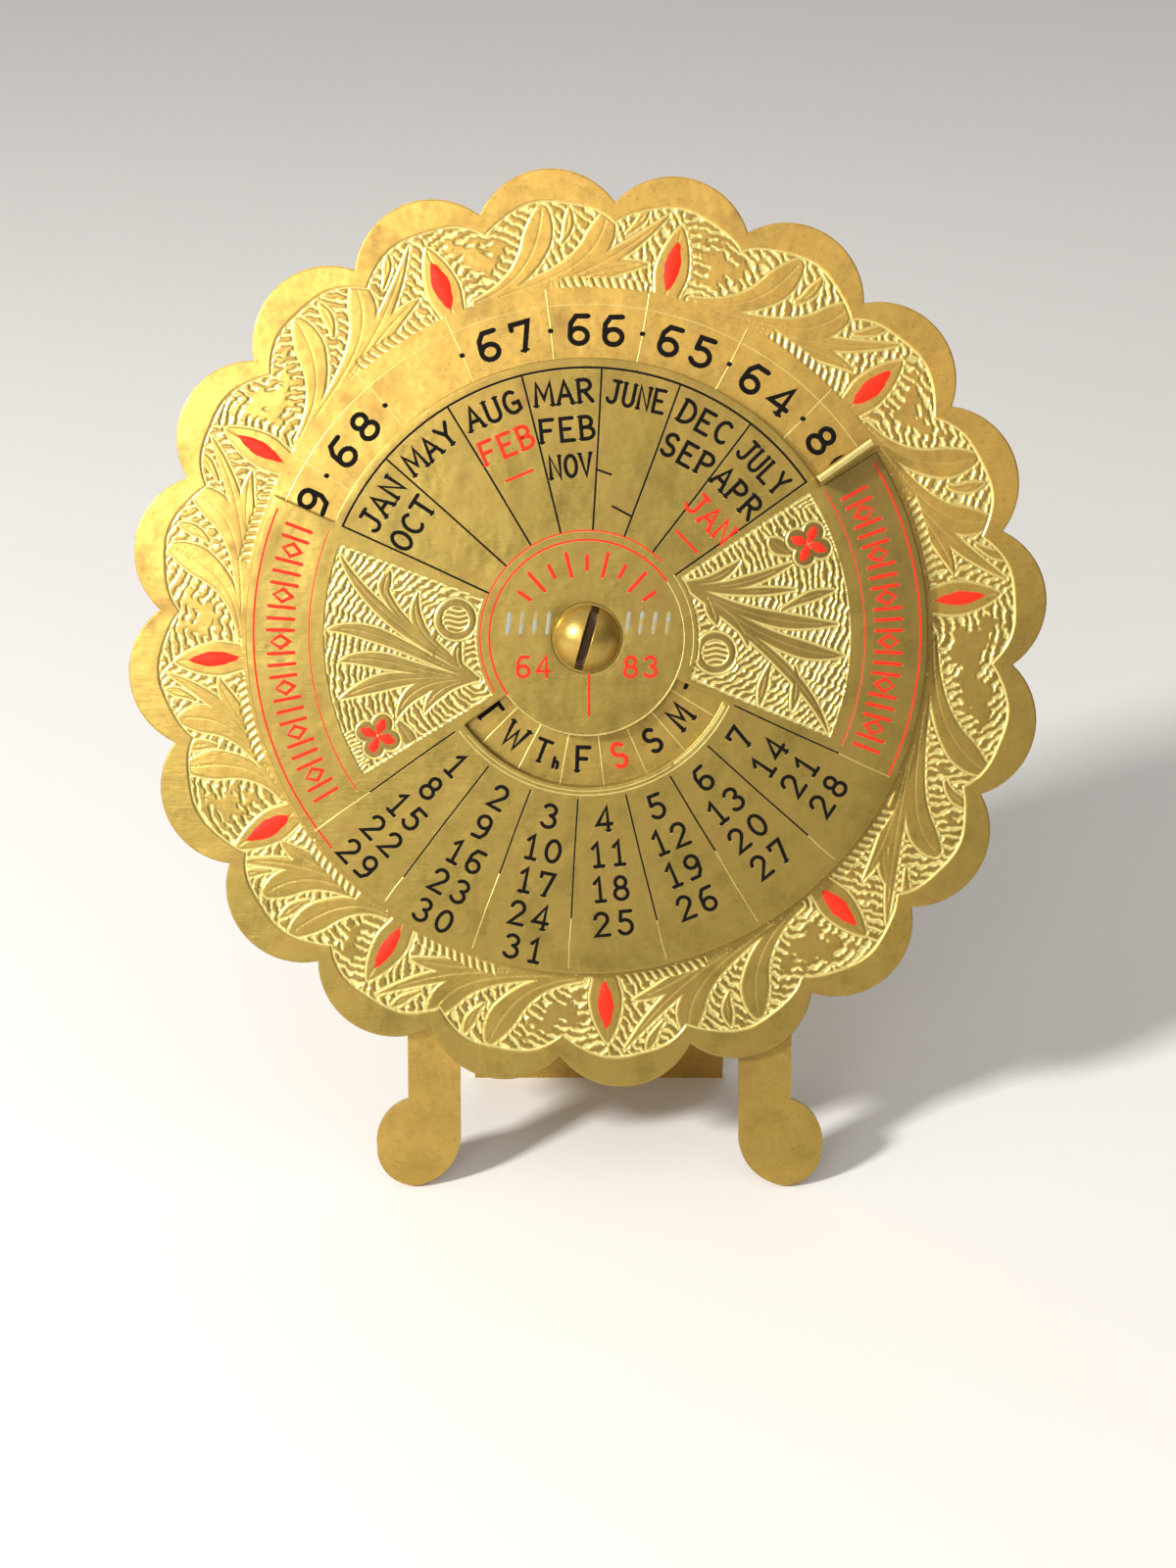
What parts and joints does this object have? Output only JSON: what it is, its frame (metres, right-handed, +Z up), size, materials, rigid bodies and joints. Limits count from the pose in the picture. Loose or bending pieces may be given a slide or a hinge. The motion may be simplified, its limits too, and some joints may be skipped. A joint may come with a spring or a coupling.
{
  "type": "perpetual desk calendar",
  "caption": "Round scalloped sheet-brass perpetual desk calendar: a turning dial with windows on an engraved plate, held by a central screw on a bent sheet stand.",
  "frame": {"origin": "on the floor under the centre of the object's bounding box", "axes": "+Z up, +X to the right seen from the front, the calendar's face looks along -Y and leans back"},
  "size_m": [0.0996, 0.0344, 0.1063],
  "materials": {
    "plate_brass": "tarnished, engraved",
    "dial_brass": "tarnished, engraved",
    "red_lac": "gloss",
    "washer_brass": "dull",
    "screw_brass": "worn",
    "stand_brass": "tarnished"
  },
  "bodies": {
    "frame": {"base_plate": "plate_brass", "marquise_lac": "red_lac", "dial_spacer": "washer_brass", "pivot_screw": "screw_brass", "stand": "stand_brass", "plain_washer": "washer_brass", "spring_washer": "washer_brass", "hex_nut": "screw_brass"},
    "dial": {"front_dial": "dial_brass", "flower_lac": "red_lac"}
  },
  "joints": [
    {"name": "dial_turn", "type": "hinge", "parent": "frame", "child": "dial", "pos_m": [0, 0.00082, 0.05892], "axis": [0, -0.9511, 0.309], "continuous": true}
  ]
}
